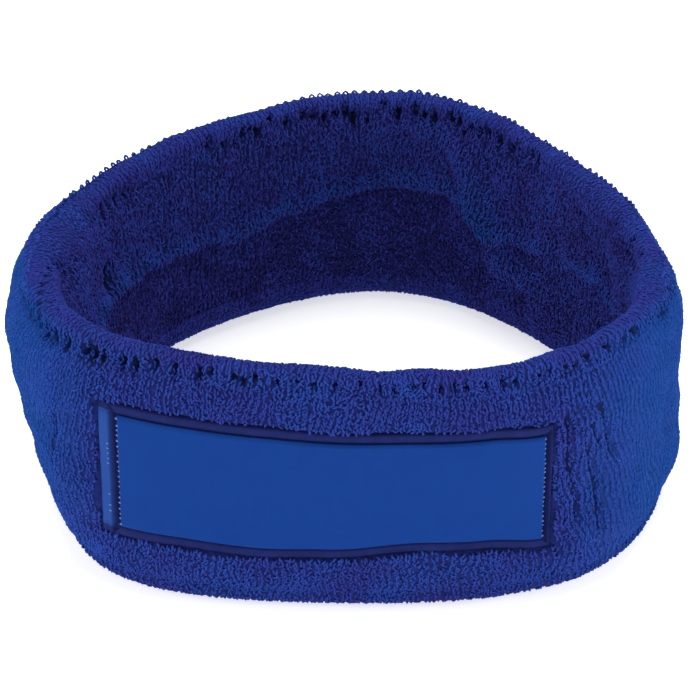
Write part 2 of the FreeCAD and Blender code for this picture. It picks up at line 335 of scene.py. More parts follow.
class Shader:
    """A material's node tree with short ways to add to it."""

    def __init__(self, name, roughness, specular=0.15, sheen=0.0):
        self.material = bpy.data.materials.new(name)
        self.material.use_nodes = True
        self.nodes = self.material.node_tree.nodes
        self.links = self.material.node_tree.links
        self.out = self.nodes["Principled BSDF"]
        self.out.inputs["Roughness"].default_value = roughness
        self.out.inputs["Specular IOR Level"].default_value = specular
        self.out.inputs["Sheen Weight"].default_value = sheen
        self.out.inputs["Sheen Roughness"].default_value = 0.4
        self.out.inputs["Sheen Tint"].default_value = (0.1, 0.4, 1.0, 1)

    def put(self, socket, value):
        if isinstance(value, bpy.types.NodeSocket):
            self.links.new(value, socket)
        elif isinstance(value, tuple):
            socket.default_value = (*value, 1)
        else:
            socket.default_value = value

    def math(self, kind, *values):
        node = self.nodes.new("ShaderNodeMath")
        node.operation = kind
        for socket, value in zip(node.inputs, values):
            self.put(socket, value)
        return node.outputs[0]

    def mix(self, kind, share, a, b):
        node = self.nodes.new("ShaderNodeMix")
        node.data_type = "RGBA"
        node.blend_type = kind
        self.put(node.inputs[0], share)
        self.put(node.inputs[6], a)
        self.put(node.inputs[7], b)
        return node.outputs[2]

    def ramp(self, share, stops):
        node = self.nodes.new("ShaderNodeValToRGB")
        marks = node.color_ramp.elements
        while len(marks) < len(stops):
            marks.new(0.5)
        for mark, (at, color) in zip(marks, stops):
            mark.position = at
            mark.color = (*color, 1)
        self.put(node.inputs[0], share)
        return node.outputs[0]

    def noise(self, scale, detail):
        node = self.nodes.new("ShaderNodeTexNoise")
        node.inputs["Scale"].default_value = scale
        node.inputs["Detail"].default_value = detail
        position = self.nodes.new("ShaderNodeNewGeometry").outputs["Position"]
        self.links.new(position, node.inputs["Vector"])
        return node.outputs["Fac"]

    def color(self, value):
        self.put(self.out.inputs["Base Color"], value)
        return self.material


# where a yarn's colours sit between its darkest and its brightest tone
TONE_STOPS = (0, 0.2, 0.5, 1)
# how far the plies' pattern advances along a loop, in radians
PLY_TWIST = 40


def yarn_material(name, *tones, specular=0.03, sheen=0.06):
    """Yarn whose colour is that of the strip a loop takes, with twisted plies and painted shade at the
    roots, where the loops go into the ground.
    """
    made = Shader(name, 0.85, specular, sheen)
    uv = made.nodes.new("ShaderNodeUVMap")
    uv.uv_map = "OFBake"
    split = made.nodes.new("ShaderNodeSeparateXYZ")
    made.links.new(uv.outputs["UV"], split.inputs[0])
    strip_place, along = split.outputs[0], split.outputs[1]
    strip = made.math("FLOOR", made.math("MULTIPLY", strip_place, TONES))
    random = made.nodes.new("ShaderNodeTexWhiteNoise")
    random.noise_dimensions = "1D"
    made.links.new(strip, random.inputs["W"])
    color = made.ramp(made.math("DIVIDE", strip, TONES - 1), tuple(zip(TONE_STOPS, tones)))
    shift = made.math("MULTIPLY", strip_place, TONES * 2 * math.pi)
    twist = made.math("ADD", made.math("MULTIPLY", along, PLY_TWIST), shift)
    plies = made.math("MULTIPLY_ADD", made.math("SINE", twist), 0.1, 1.0)
    # painted shade: the colour darkens towards a loop's feet, for the shade where it goes into the ground
    arch = made.math("MAXIMUM", made.math("SINE", made.math("MULTIPLY", along, math.pi)), 0.0)
    root = made.math("MULTIPLY_ADD", made.math("POWER", arch, 0.6), 0.5, 0.5)
    odd = made.math("MULTIPLY_ADD", random.outputs[0], 0.2, 0.9)
    level = made.math("MULTIPLY", made.math("MULTIPLY", plies, root), odd)
    return made.color(made.mix("MULTIPLY", 1.0, color, level))


def cloth_material(name, color, dark, scale, roughness=0.9, specular=0.1, shades=()):
    """Plain fabric: mottled colour. Each shade is a point value and the colour that it leads to; they
    paint light and shade onto the cloth.
    """
    made = Shader(name, roughness, specular)
    value = made.ramp(made.noise(scale, 4.0), ((0.35, dark), (0.65, color)))
    for shade, aim in shades:
        share = made.nodes.new("ShaderNodeAttribute")
        share.attribute_name = shade
        value = made.mix("MIX", share.outputs["Fac"], value, aim)
    return made.color(value)


# The terry's tones run from the purple of yarn in shade to the azure of lit yarn. The tone each loop takes
# holds random variation and also painted light and painted shade, set by where the loop sits.
terry = yarn_material("terry_yarn", (0.018, 0.016, 0.12), (0.029, 0.032, 0.24), (0.022, 0.055, 0.315),
                      (0.006, 0.052, 0.25))
# The knit ground's 'light' colour is painted light on the brighter sides, and its 'deep' colour is painted
# shade in the gaps, the creases and on the inner plies.
ground_cloth = cloth_material("knit_ground", (0.012, 0.022, 0.16), (0.008, 0.012, 0.09), 900,
                              shades=(("light", (0.01, 0.055, 0.26)), ("deep", (0.002, 0.003, 0.02))))
satin = cloth_material("satin_weave", (0.0068, 0.0415, 0.223), (0.0065, 0.0395, 0.215), 300, 0.6, 0.02)
# The hem's 'light' colour is painted light on the left fold, and its 'deep' colour is painted shade in its
# grooves and in the shadow line under the lower strip.
satin_hem = cloth_material("satin_hem", (0.013, 0.019, 0.11), (0.01, 0.016, 0.09), 500, 0.6, 0.03,
                           (("light", (0.019, 0.062, 0.27)), ("deep", (0.004, 0.006, 0.05))))
elastic = cloth_material("covered_elastic", (0.02, 0.03, 0.18), (0.015, 0.02, 0.14), 500, 0.7)
lining = cloth_material("interlining", (0.6, 0.6, 0.62), (0.5, 0.5, 0.52), 500, 0.9)
thread = cloth_material("label_thread", (0.13, 0.25, 0.66), (0.09, 0.19, 0.5), 900, 0.45)


def dress(piece, finish, slot, *nodes):
    """Gives a piece its material and its body, and hides the CAD nodes that it stands for. The slot is not
    used.
    """
    piece.data.materials.append(finish)
    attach(piece, "root")
    if nodes:
        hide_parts(*nodes)
    return piece


# ------------------------------ dents, holes and creases

# the satin panel's sides, by x and height, and the window in the pile that it and its hem fill
PANEL_LEFT, PANEL_RIGHT = -41.4, 35.6
PANEL_LOW, PANEL_HIGH = 14.8, 37.0
WINDOW_LEFT, WINDOW_RIGHT = PANEL_LEFT - 3.9, PANEL_RIGHT + 1.7
WINDOW_LOW, WINDOW_HIGH = PANEL_LOW - 2.3, PANEL_HIGH + 2.1
# how far the satin's lower and upper edges wander, by x
LABEL_X = (PANEL_LEFT, -31.0, -15.0, -3.0, 13.0, 25.0, PANEL_RIGHT)
LOW_SHIFT = (0.0, 0.1, -0.5, -0.1, 1.5, 1.1, -0.4)
HIGH_SHIFT = (0.3, 0.2, 0.1, 0.0, 0.4, 0.3, -0.9)
# how far the ground lies under the pile's face
PILE = 0.35

big_wave = waves(3, 22)
middle_wave = waves(4, 9)
rim_wave = waves(5, 15)

# the row of gaps below the rim: distance round the band, distance across the rolled edge, strength
GAP_ROW = ((-184, 4.6, 0.3), (-110, 4.0, 0.5), (-92, 3.0, 0.9), (-86, 4.0, 0.8), (-78, 4.8, 0.7),
           (-69, 5.0, 0.7), (-54, 4.9, 1.1), (-48, 4.6, 1.2), (-40, 4.5, 1.2), (-30, 3.5, 1.0),
           (0, 3.3, 0.6), (25, 3.3, 0.8), (50, 3.3, 0.8), (64, 3.9, 0.6), (75, 3.5, 0.5), (95, 3.5, 0.5),
           (130, 4.4, 0.4), (184, 4.6, 0.3))
# creases in the outer ply, as lines of points: distance round the band, height
CREASES = (((41.4, 38.5), (40.8, 28.5), (41.3, 19.5), (40.7, 16.5)),
           ((44.7, 32.0), (45.5, 25.5), (45.8, 19.8), (44.2, 13.2)),
           ((48.6, 39.0), (49.6, 34.2), (50.4, 27.0)),
           ((46.3, 35.2), (47.9, 30.0)),
           ((-50.5, 33.0), (-51.2, 24.0), (-50.6, 15.0)))
# stray holes along the rim: distance round the band, distance across the edge, radius and height ratio
RIM_HOLES = ((-81, -2.2, 0.55, 1.0), (-77, -1.6, 0.5, 1.0), (-73, -0.9, 0.55, 1.0), (-69, -0.1, 0.5, 1.0),
             (-66, 0.8, 0.55, 1.0), (-63.5, 1.7, 0.55, 1.0), (-61, 2.8, 0.6, 1.2), (48.6, 2.6, 0.7, 1.2),
             (54.5, 2.7, 1.0, 1.0), (63, 3.0, 0.9, 1.0), (75, 4.8, 0.7, 1.4), (80.4, 2.2, 0.8, 1.2),
             (94.6, -2.4, 0.7, 1.0), (101, -3.0, 0.7, 1.0), (109, -3.4, 0.7, 1.2))
# a stray hole inside, at the left
PUCKER = (-104.9, 30.5)

# the seam's nominal level, and its real height by distance round the band
SEAM = 25.0
SEAM_HEIGHT = ((-184, 29.3), (-172, 27.2), (-158, 24.8), (-149, 22.6), (-136, 24.5), (-110, 26.0),
               (-60, 25.0), (60, 25.0), (98, 26.5), (114, 29.2), (130, 26.8), (154, 22.5), (165, 29.5),
               (184, 29.3))


def label_shift(x, z):
    """How far a point of the label lies above its nominal height."""
    share = np.clip((z - PANEL_LOW) / (PANEL_HIGH - PANEL_LOW), 0, 1)
    return eased(x, LABEL_X, LOW_SHIFT) * (1 - share) + eased(x, LABEL_X, HIGH_SHIFT) * share


def rolled_edge(around, across, edge, direction, sink):
    """A point of the rolled edge, sunk under its surface. direction is 1 at the top, -1 at the bottom.
    across is 0 on the crest and positive outside: the distance from the crest where the wall is
    thinnest, and more where it is thicker."""
    half = welt_half(around, np.broadcast_to(float(edge), np.shape(around)))
    arc = WELT_HALF * math.pi / 2
    angle = np.clip(np.abs(across) / arc, 0, 1) * math.pi / 2
    drop = np.clip(np.abs(across) - arc, 0, None)
    offset = np.sign(across) * (half - sink) * np.sin(angle)
    level = edge - direction * (half - (half - sink) * np.cos(angle) + drop)
    lift = 0.18 * rim_wave(around, 0) + along_band(around, RIM_LIFT)
    level = level + lift * np.cos(angle) * (direction > 0)
    return place(around, level, offset)


def gaps():
    """Centres, radii, heights and depths of the gaps between the stitches below the rim."""
    draw = np.random.default_rng(31)
    row_around, row_across, row_strength = zip(*GAP_ROW)
    found = []
    for side, shift in ((1, 0.0), (-1, 1.3)):
        at = -ROUND / 2 + shift
        while at < ROUND / 2 - 1.5:
            at += draw.uniform(1.6, 4.2)
            strength = np.interp(at, row_around, row_strength) * draw.uniform(0.45, 1.25)
            across = np.interp(at, row_around, row_across) + draw.normal(0, 0.4)
            if side < 0:
                at_back = abs(at) > 140
                at_left = -120 < at < -78
                across = (4.8 if at_back else 6.4) + draw.normal(0, 0.9)
                strength = draw.uniform(0.5, 1.3) * at_back + draw.uniform(0.5, 1.0) * at_left
            tall = draw.uniform(1.2, 2.8)
            if strength < 0.4:
                continue
            spot = rolled_edge(np.array([at]), np.array([side * across]), BAND_HEIGHT, 1, 0.0)[0]
            if side > 0 and across > 4.2:
                height = np.array([spot[2]])
                spot = place(np.array([at]), height, face_offset(np.array([at]), height))[0]
            slit = (side > 0) * bump(at, -42, 22)
            radius = 0.3 + 0.22 * strength + 0.2 * slit + 0.2 * (side < 0)
            found.append((*spot, radius, tall + 0.8 * slit, 1.0 + 1.2 * strength))
    for at, across, radius, tall in RIM_HOLES:
        spot = rolled_edge(np.array([at]), np.array([across]), BAND_HEIGHT, 1, 0.0)[0]
        found.append((*spot, radius, tall, 1.6))
    around, height = np.array([PUCKER[0]]), np.array([PUCKER[1]])
    found.append((*place(around, height, -WELT_HALF)[0], 1.6, 1.8, 3.0))
    return np.array(found)


GAPS = gaps()
# how near a point has to be for a gap to matter, and how many gap radii stay free of loops
GAP_REACH = 5
GAP_CLEAR = 0.95


def gap_distance(points):
    """For each point, the smallest distance to a gap in gap radii, and that gap's depth."""
    flat = points.reshape(-1, 3)
    best = np.full(len(flat), 9.0)
    depth = np.zeros(len(flat))
    for x, y, z, radius, tall, deep in GAPS:
        near = np.abs(flat[:, 0] - x) < GAP_REACH
        near &= np.abs(flat[:, 1] - y) < GAP_REACH
        near = np.nonzero(near)[0]
        gone = flat[near] - (x, y, z)
        gone[:, 2] /= tall
        far = np.linalg.norm(gone, axis=1) / radius
        closer = far < best[near]
        best[near[closer]] = far[closer]
        depth[near[closer]] = deep
    return best.reshape(points.shape[:-1]), depth.reshape(points.shape[:-1])


def gap_dent(points):
    """How deep the ground dips in a gap, in mm."""
    far, depth = gap_distance(points)
    return depth * np.exp(-far ** 2 * 0.8)


def gap_shade(points):
    """How much painted shade the ground gets: 1 in the middle of a gap."""
    return np.exp(-np.clip(gap_distance(points)[0] - 0.3, 0, None) ** 2)


def crease_distance(around, height):
    """Distance to the nearest crease, in mm."""
    best = np.full(np.broadcast(around, height).shape, 99.0)
    for line in CREASES:
        for (a0, h0), (a1, h1) in zip(line, line[1:]):
            length = (a1 - a0) ** 2 + (h1 - h0) ** 2
            share = np.clip(((around - a0) * (a1 - a0) + (height - h0) * (h1 - h0)) / length, 0, 1)
            gone = np.hypot(around - a0 - share * (a1 - a0), height - h0 - share * (h1 - h0))
            best = np.minimum(best, gone)
    return best


def outer_ground(around, height):
    """Offset of the outer ply's ground, under its pile."""
    bumps = 0.35 * big_wave(around, height) + 0.22 * middle_wave(around, height)
    fade = swell((height - WELT_HEIGHT) / (BAND_HEIGHT - 2 * WELT_HEIGHT))
    crease = 0.9 * np.exp(-(crease_distance(around, height) / 0.8) ** 2)
    offset = face_offset(around, height) - PILE + bumps * fade - crease
    return offset - gap_dent(place(around, height, face_offset(around, height)))


def inner_height(around, level):
    """The height of a level of the inner plies. Their seam wanders up and down."""
    wander = along_band(around, SEAM_HEIGHT) - SEAM
    return level + wander * (1 - ((level - SEAM) / 20.5) ** 2)


def seam_level(around):
    """The level of the seam's crest, with its small waves."""
    return SEAM + 0.3 * middle_wave(around, SEAM)


def seam_ridge(around, level):
    """1 on the seam, with a soft slope above it and a step below."""
    above = level - seam_level(around)
    return np.where(above > 0, np.exp(-(above / 3.4) ** 2), np.exp(-(above / 0.9) ** 2))


FOLD_AROUND = 148
FOLD_LEVEL = 19.5
FOLD_SLANT = 0.73


def inner_fold(around, level):
    """1 on the crest of the slanting fold inside, at the right of the back."""
    crest = FOLD_AROUND + FOLD_SLANT * (level - FOLD_LEVEL)
    fade = np.clip((level - 12) / 5, 0, 1) * np.clip((42 - level) / 6, 0, 1)
    return bump(around, crest, 8) * fade


def inner_ground(around, level):
    """Offset of the inner plies' ground, under their pile."""
    low = np.where(level < SEAM, WELT_HEIGHT, SEAM)
    high = np.where(level < SEAM, SEAM, BAND_HEIGHT - WELT_HEIGHT)
    share = (level - low) / (high - low)
    half = welt_half(around, level)
    offset = -(half + 1.0 * swell(share) - 0.45 + 0.25 * big_wave(around + 40, level))
    dent = gap_dent(place(around, inner_height(around, level), -WELT_HALF - 0.6))
    return offset - 2.0 * seam_ridge(around, level) - 1.6 * inner_fold(around, level) + dent


def welt_skin(edge, direction):
    """The rolled edge's ground, by the distance across it."""

    def skin(around, across):
        sink = 0.35 + 0.1 * np.clip((np.abs(across) - 2.0) / 2.0, 0, 1)
        points = rolled_edge(around, across, edge, direction, sink)
        if direction < 0:
            return points
        dent = gap_dent(rolled_edge(around, across, edge, direction, 0.0))
        return rolled_edge(around, across, edge, direction, sink + dent)

    return skin


def skin_frame(skin, around, across, side):
    """Points of a skin with unit frames: along the band, up the section, and out of the cloth."""
    step = 0.3
    base = skin(around, across)
    along = skin(around + step, across) - skin(around - step, across)
    up = skin(around, across + step) - skin(around, across - step)
    along *= side
    normal = np.cross(along, up)
    normal /= np.linalg.norm(normal, axis=-1, keepdims=True)
    up /= np.linalg.norm(up, axis=-1, keepdims=True)
    along = np.cross(up, normal)
    return base, along, up, normal


def outer_skin(rule, shift=0.0):
    """A skin of the outer side, by a rule for its offset."""
    return lambda around, height: place(around, height, rule(around, height) + shift)


def inner_skin(shift=0.0):
    """The inner plies' ground, or a skin beside it."""

    def skin(around, level):
        return place(around, inner_height(around, level), inner_ground(around, level) + shift)

    return skin


# ------------------------------ pile

lean_field = waves(11, 8)
warp_field = waves(13, 10)
tone_field = waves(12, 14)
# about how many loops a piece holds, and the share of loops that are missing
PER_PIECE = 4800
SPECKS = 0.1


def lattice(pitch_along, pitch_up, length_up, jitter):
    """Jittered columns of stitches, in pairs: distance round the band, and share of the way up."""
    columns = int(round(ROUND / pitch_along / 2)) * 2
    rows = int(round(length_up / pitch_up))
    i, j = np.meshgrid(np.arange(columns), np.arange(rows), indexing="ij")
    around = (i + 0.5) * ROUND / columns - ROUND / 2
    around = around + np.where(i % 2, -1, 1) * (0.08 + 0.1 * bump(around, 55, 22))
    share = (j + 0.25 + 0.5 * (i % 2) + rng.normal(0, 0.16, i.shape)) / rows
    around = around + rng.normal(0, jitter, around.shape) + 0.4 * warp_field(around, share * length_up)
    return around.ravel(), np.clip(share, 0, 1).ravel()


def pile(name, skin, side, around, across, tall, width, lean, radius, spread, tone, slot, untidy=0.3):
    """Loops all over a skin, along its columns, cut into pieces that each hold a stretch of the band."""
    count = len(around)
    base, along, up, normal = skin_frame(skin, around, across, side)
    turn = spread * lean_field(around, across) + rng.normal(0, 1, count) * untidy
    over = np.cos(turn)[:, None] * up + np.sin(turn)[:, None] * along
    tilt = rng.normal(0, 0.9, count)
    down = -np.cos(tilt)[:, None] * up + np.sin(tilt)[:, None] * along
    tall = tall * rng.uniform(0.65, 1.3, count)
    lean = lean * rng.uniform(0.3, 1.5, count)
    width = width * rng.uniform(0.75, 1.25, count)
    radius = radius * rng.uniform(0.88, 1.12, count)
    parts = max(1, math.ceil(count / PER_PIECE))
    sector = np.floor((around / ROUND + 0.5) % 1 * parts).astype(int)
    pieces = []
    for part in range(parts):
        pick = sector == part
        frames = [values[pick] for values in (base, over, down, normal)]
        piece = yarn_loops("%s_%d" % (name, part + 1), frames, width[pick], tall[pick], lean[pick],
                           radius[pick], tone[pick])
        pieces.append(dress(piece, terry, slot))
    return pieces


def sidewards(spots):
    """0 at the front and the back, and 1 at both sides, where the yarn is smoother and painted light makes
    it brighter.
    """
    at_left = (-spots[..., 0] - 45) / 13
    at_right = (spots[..., 0] - 40) / 16
    return np.clip(np.maximum(at_left, at_right), 0, 1)


# ------------------------------ outer ply

SECTIONS = 620
OUTER_LEVELS = 79
LABEL_SINK = 1.7
section_round = np.linspace(-ROUND / 2, ROUND / 2, SECTIONS, endpoint=False)


def wall_points(outer, inner, levels):
    """Points of a thin wall between two skins, as a closed section at each place round the band."""
    around = np.broadcast_to(section_round[:, None], levels.shape)
    return np.concatenate([outer(around, levels), inner(around, levels)[:, ::-1]], 1)


def both_faces(values):
    """A shade of one face of a wall, repeated for the other."""
    return np.concatenate([values, values[:, ::-1]], 1)


def window_margin(points):
    """How far inside the label's window a point is, in mm, and negative outside it."""
    x, y, z = points[..., 0], points[..., 1], points[..., 2]
    z = z - label_shift(x, z)
    inside = np.minimum(np.minimum(x - WINDOW_LEFT, WINDOW_RIGHT - x),
                        np.minimum(z - WINDOW_LOW, WINDOW_HIGH - z))
    return np.where(y < 0, inside, -9.0)


def windowed_ground(around, height):
    """The outer ground, sunk where the label lies."""
    margin = window_margin(place(around, height, face_offset(around, height)))
    flat = face_offset(around, height) - LABEL_SINK
    share = np.clip(margin + 0.5, 0, 1)
    return outer_ground(around, height) * (1 - share) + flat * share


def outer_ply_ground(height_at):
    """The outer ply's knitted ground, with painted shade in the gaps and the creases, and painted light at
    the sides.
    """
    around, share = np.meshgrid(section_round, np.linspace(0, 1, OUTER_LEVELS), indexing="ij")
    levels = height_at(around, share)
    spots = place(around, levels, face_offset(around, levels))
    # painted shade in the gaps and the creases, and painted light at the sides
    deep = np.maximum(gap_shade(spots), 0.7 * np.exp(-(crease_distance(around, levels) / 0.5) ** 2))
    shades = {"deep": both_faces(deep), "light": both_faces(0.8 * sidewards(spots))}
    points = wall_points(outer_skin(windowed_ground), outer_skin(windowed_ground, -0.7), levels)
    ply = ring_solid("outer_ply_ground", points, shades)
    return dress(ply, ground_cloth, "terry_pile", "outer_terry_ply")


def outer_ply_pile(height_at, length):
    """The outer ply's loops, all but those in the label's window, the gaps and the creases. At the
    sides they are lower, thicker and tidier."""
    around, share = lattice(0.6, 0.64, length, 0.05)
    height = height_at(around, share)
    spots = place(around, height, face_offset(around, height))
    far = gap_distance(spots)[0]
    sideways = sidewards(spots)
    keep = (window_margin(spots - (0, 0, 0.3)) < -0.15) & (far > GAP_CLEAR)
    keep &= crease_distance(around, height) > 0.26
    keep &= rng.uniform(0, 1, len(around)) > SPECKS * (1 - 0.8 * sideways)
    around, height, far, sideways = around[keep], height[keep], far[keep], sideways[keep]
    # the loops' tone: painted light at the sides, random variation, and painted shade next to the gaps
    tone = 0.41 + 0.46 * sideways + 0.05 * tone_field(around, height) + rng.normal(0, 0.05, len(around))
    tone = tone - 0.12 * np.exp(-((far - GAP_CLEAR) / 0.5) ** 2)
    return pile("outer_pile", outer_skin(outer_ground), 1, around, height,
                tall=0.45 - 0.25 * sideways, width=0.65, lean=0.2, radius=0.215 + 0.06 * sideways,
                spread=0.15, tone=tone, slot="terry_pile", untidy=0.5 - 0.3 * sideways)


outer_height, outer_length = cloth_heights(face_offset, CLOTH_LOW, CLOTH_HIGH)
outer_ply = outer_ply_ground(outer_height)
outer_pieces = outer_ply_pile(outer_height, outer_length)

# ------------------------------ inner plies

INNER_LEVELS = 36
SEAM_STITCHES = 224


def inner_ply(name, low, high, tone):
    """Half of the inner side: its knitted ground, and its loops in pieces."""
    around, levels = np.meshgrid(section_round, np.linspace(low, high, INNER_LEVELS), indexing="ij")
    spots = place(around, inner_height(around, levels), -WELT_HALF)
    # painted shade: the inner ground is darker all over, and darkest in the gaps
    deep = np.maximum(gap_shade(spots), 0.35)
    shades = {"deep": both_faces(deep), "light": both_faces(np.zeros_like(levels))}
    ply = ring_solid("inner_ply_" + name, wall_points(inner_skin(0.8), inner_skin(), levels), shades)
    dress(ply, ground_cloth, "terry_pile", "inner_terry_" + name, "seam_selvedge_" + name)
    around, share = lattice(0.62, 0.66, high - low, 0.07)
    level = low + (high - low) * share
    far = gap_distance(place(around, inner_height(around, level), -WELT_HALF))[0]
    keep = (far > GAP_CLEAR) & (rng.uniform(0, 1, len(around)) > 1.5 * SPECKS)
    around, level = around[keep], level[keep]
    # the loops' tone: random variation, with painted highlight on the seam's ridge and the fold's crest,
    # painted light low on the right towards the back with painted shade above it, and a painted shadow
    # just under the seam
    tone = tone + 0.05 * tone_field(around, level) + rng.normal(0, 0.14, len(around))
    tone = tone + 0.3 * seam_ridge(around, level) + 0.22 * inner_fold(around, level)
    tone = tone + np.where(level < SEAM, 0.13, -0.06) * bump(around, 120, 34)
    tone = tone - 0.1 * bump(SEAM - level, 1.6, 1.2)
    loops = pile("inner_pile_" + name, inner_skin(), -1, around, level,
                 tall=0.55, width=0.75, lean=0.25, radius=0.195,
                 spread=0.2, tone=tone, slot="terry_pile", untidy=0.6)
    return ply, loops


def seam_thread():
    """The overlock stitches, each an arch of thread across the seam."""
    around = (np.arange(SEAM_STITCHES) + 0.5) * ROUND / SEAM_STITCHES - ROUND / 2
    base, along, up, normal = skin_frame(inner_skin(), around, seam_level(around), -1)
    each = np.ones(SEAM_STITCHES)
    stitches = yarn_loops("seam_thread_loops", (base, up, along, normal), width=2.4 * each,
                          tall=0.75 * each, lean=0.5 * each, radius=0.16 * each, tone=0.2 * each)
    dress(stitches, terry, "seam_thread", "seam_overlock_thread")


# the inner plies' dark base tones are painted shade inside the ring, darker on the lower ply
inner_plies = (inner_ply("lower", CLOTH_LOW, SEAM, 0.08), inner_ply("upper", SEAM, CLOTH_HIGH, 0.23))
seam_thread()

# ------------------------------ welts

# how far a welt's ground goes down each side of its crest, and the width that its loops cover
WELT_REACH = 6.2
WELT_WIDTH = 12.0
WELT_COLUMNS = 29
PICOT_PITCH = 1.9


def welt(name, edge, direction):
    """A rolled edge: its knitted ground, and its loops."""
    skin = welt_skin(edge, direction)
    across = np.linspace(-WELT_REACH, WELT_REACH, WELT_COLUMNS)
    around, across = np.meshgrid(section_round, across, indexing="ij")
    core = rolled_edge(around, across[:, ::-1] * 0.97, edge, direction, 1.9)
    spots = rolled_edge(around, across, edge, direction, 0.0)
    # painted shade in the gaps below the upper rim, and painted light on the outer flank at the sides
    shades = {"deep": both_faces(gap_shade(spots) * (direction > 0)),
              "light": both_faces(0.5 * sidewards(spots) * (across > 0))}
    ground = ring_solid(name + "_welt_knit", np.concatenate([skin(around, across), core], 1), shades)
    dress(ground, ground_cloth, "welt_knit", name + "_welt")
    around, share = lattice(0.62, 0.64, WELT_WIDTH, 0.05)
    across = WELT_WIDTH * share - WELT_WIDTH / 2
    flank = np.clip((np.abs(across) - 1.6) / 2.0, 0, 1)
    keep = rng.uniform(0, 1, len(around)) > SPECKS * flank
    if direction > 0:
        keep &= gap_distance(rolled_edge(around, across, edge, direction, 0.0))[0] > GAP_CLEAR
    around, across, flank = around[keep], across[keep], flank[keep]
    # the loops' tone: the crest's on top; on the flanks painted shade inside and painted light outside,
    # more at the sides; and random variation
    sideways = sidewards(skin(around, across)) * (across > 0)
    painted_flank_tone = np.where(across < 0, 0.2, 0.46)
    tone = 0.36 * (1 - flank) + painted_flank_tone * flank + 0.4 * flank * sideways
    tone = tone + 0.05 * tone_field(around, across) + rng.normal(0, 0.06, len(around))
    pile(name + "_welt_loops", skin, -direction, around, across,
         tall=0.33 + 0.12 * flank, width=0.62, lean=0.2, radius=0.21,
         spread=0.12, tone=tone, slot="welt_knit", untidy=0.5 - 0.3 * sideways)


def rim_picots():
    """Loops that stand up along the crest round the sides and the back, taller at one stretch."""
    around = np.arange(80, ROUND - 75, PICOT_PITCH)
    count = len(around)
    around = around + rng.normal(0, 0.12, count)
    taller = bump(around - ROUND, -170.5, 8)
    frames = skin_frame(welt_skin(BAND_HEIGHT, 1), around, rng.normal(1.2, 0.25, count), -1)
    picots = yarn_loops("rim_picots", frames, width=0.85 + 0.2 * taller,
                        tall=0.78 * rng.uniform(0.8, 1.2, count) + 0.4 * taller,
                        lean=rng.normal(0, 0.2, count), radius=0.3 - 0.08 * taller,
                        tone=0.4 + rng.normal(0, 0.05, count))
    dress(picots, terry, "welt_knit")


welt("top", BAND_HEIGHT, 1)
welt("bottom", 0.0, -1)
rim_picots()

# ------------------------------ label

LINING_INSET = 0.6
STITCH_PITCH = 1.05
# rows of thread nodules: x, depth under the face, radius, and the share of stitches that show
STITCH_ROWS = ((PANEL_LEFT + 0.15, 0.35, 0.21, 1.0), (PANEL_RIGHT - 0.1, 0.38, 0.18, 1.0),
               (PANEL_LEFT - 1.85, 0.4, 0.19, 0.5))


def around_at(x, height):
    """The distance round the band, near the front, where the outer face is at x."""
    low = np.full(np.broadcast(x, height).shape, -ROUND * 0.25)
    high = -low
    height = np.broadcast_to(height, low.shape)
    for halving in range(30):
        mid = (low + high) / 2
        there = place(mid, height, face_offset(mid, height))[..., 0]
        low = np.where(there < x, mid, low)
        high = np.where(there < x, high, mid)
    return (low + high) / 2


def spaced(low, high, fine, coarse, low_margin, high_margin):
    """Places from low to high, fine near both ends and coarse between."""
    first = np.arange(low, low + low_margin, fine)
    last = np.arange(high, high - high_margin, -fine)[::-1]
    count = max(2, int((last[0] - first[-1]) / coarse))
    return np.concatenate([first, np.linspace(first[-1], last[0], count + 1)[1:-1], last])


def slab(name, x_places, z_places, depth_rule, bottom_rule, shade_rule=None):
    """A curved slab over the outer face, between two depth rules of place and distance to its edge."""
    x, z = np.meshgrid(x_places, z_places, indexing="ij")
    edge = np.minimum(np.minimum(x - x_places[0], x_places[-1] - x),
                      np.minimum(z - z_places[0], z_places[-1] - z))
    high = z + label_shift(x, z)
    around = around_at(x, high)
    face = face_offset(around, high)
    top = place(around, high, face - depth_rule(x, z, edge))
    bottom = place(around, high, face - bottom_rule(x, z, edge))
    columns, rows = x.shape
    quads, uv = grid_quads(columns, rows, False, False)
    count = columns * rows
    index = np.arange(count).reshape(columns, rows)
    rim = np.concatenate([index[:, 0], index[-1, 1:], index[-2::-1, -1], index[0, -2:0:-1]])
    ahead = np.roll(rim, -1)
    walls = np.stack([rim, rim + count, ahead + count, ahead], -1)
    points = np.concatenate([top.reshape(-1, 3), bottom.reshape(-1, 3)])
    faces = np.concatenate([quads, quads[:, ::-1] + count, walls])
    if volume(points, faces) < 0:
        faces = faces[:, ::-1]
    shades = None
    if shade_rule:
        shades = {shade: np.tile(values.ravel(), 2) for shade, values in shade_rule(x, z).items()}
    return make_mesh(name, points, [faces], None, shades)


def even(depth):
    """A rule for the same depth everywhere."""
    return lambda x, z, edge: np.full(x.shape, depth)


def panel_depth(x, z, edge):
    """The satin's face, with its edges turned down."""
    return 0.1 + 0.42 * np.clip(1 - edge / 0.7, 0, 1) ** 2


def panel_bottom(x, z, edge):
    return np.where(edge < 0.2, 0.95, 0.6)


def label_panel():
    """The satin panel."""
    panel = slab("label_satin", spaced(PANEL_LEFT, PANEL_RIGHT, 0.12, 0.5, 1.2, 1.2),
                 spaced(PANEL_LOW, PANEL_HIGH, 0.12, 0.5, 1.2, 1.2), panel_depth, panel_bottom)
    return dress(panel, satin, "satin", "label_face")


def label_backing():
    """The interlining under the satin."""
    x_places = np.linspace(PANEL_LEFT + LINING_INSET, PANEL_RIGHT - LINING_INSET, 120)
    z_places = np.linspace(PANEL_LOW + LINING_INSET, PANEL_HIGH - LINING_INSET, 30)
    backing = slab("label_lining", x_places, z_places, even(0.62), even(0.9))
    dress(backing, lining, "interlining", "label_backing")


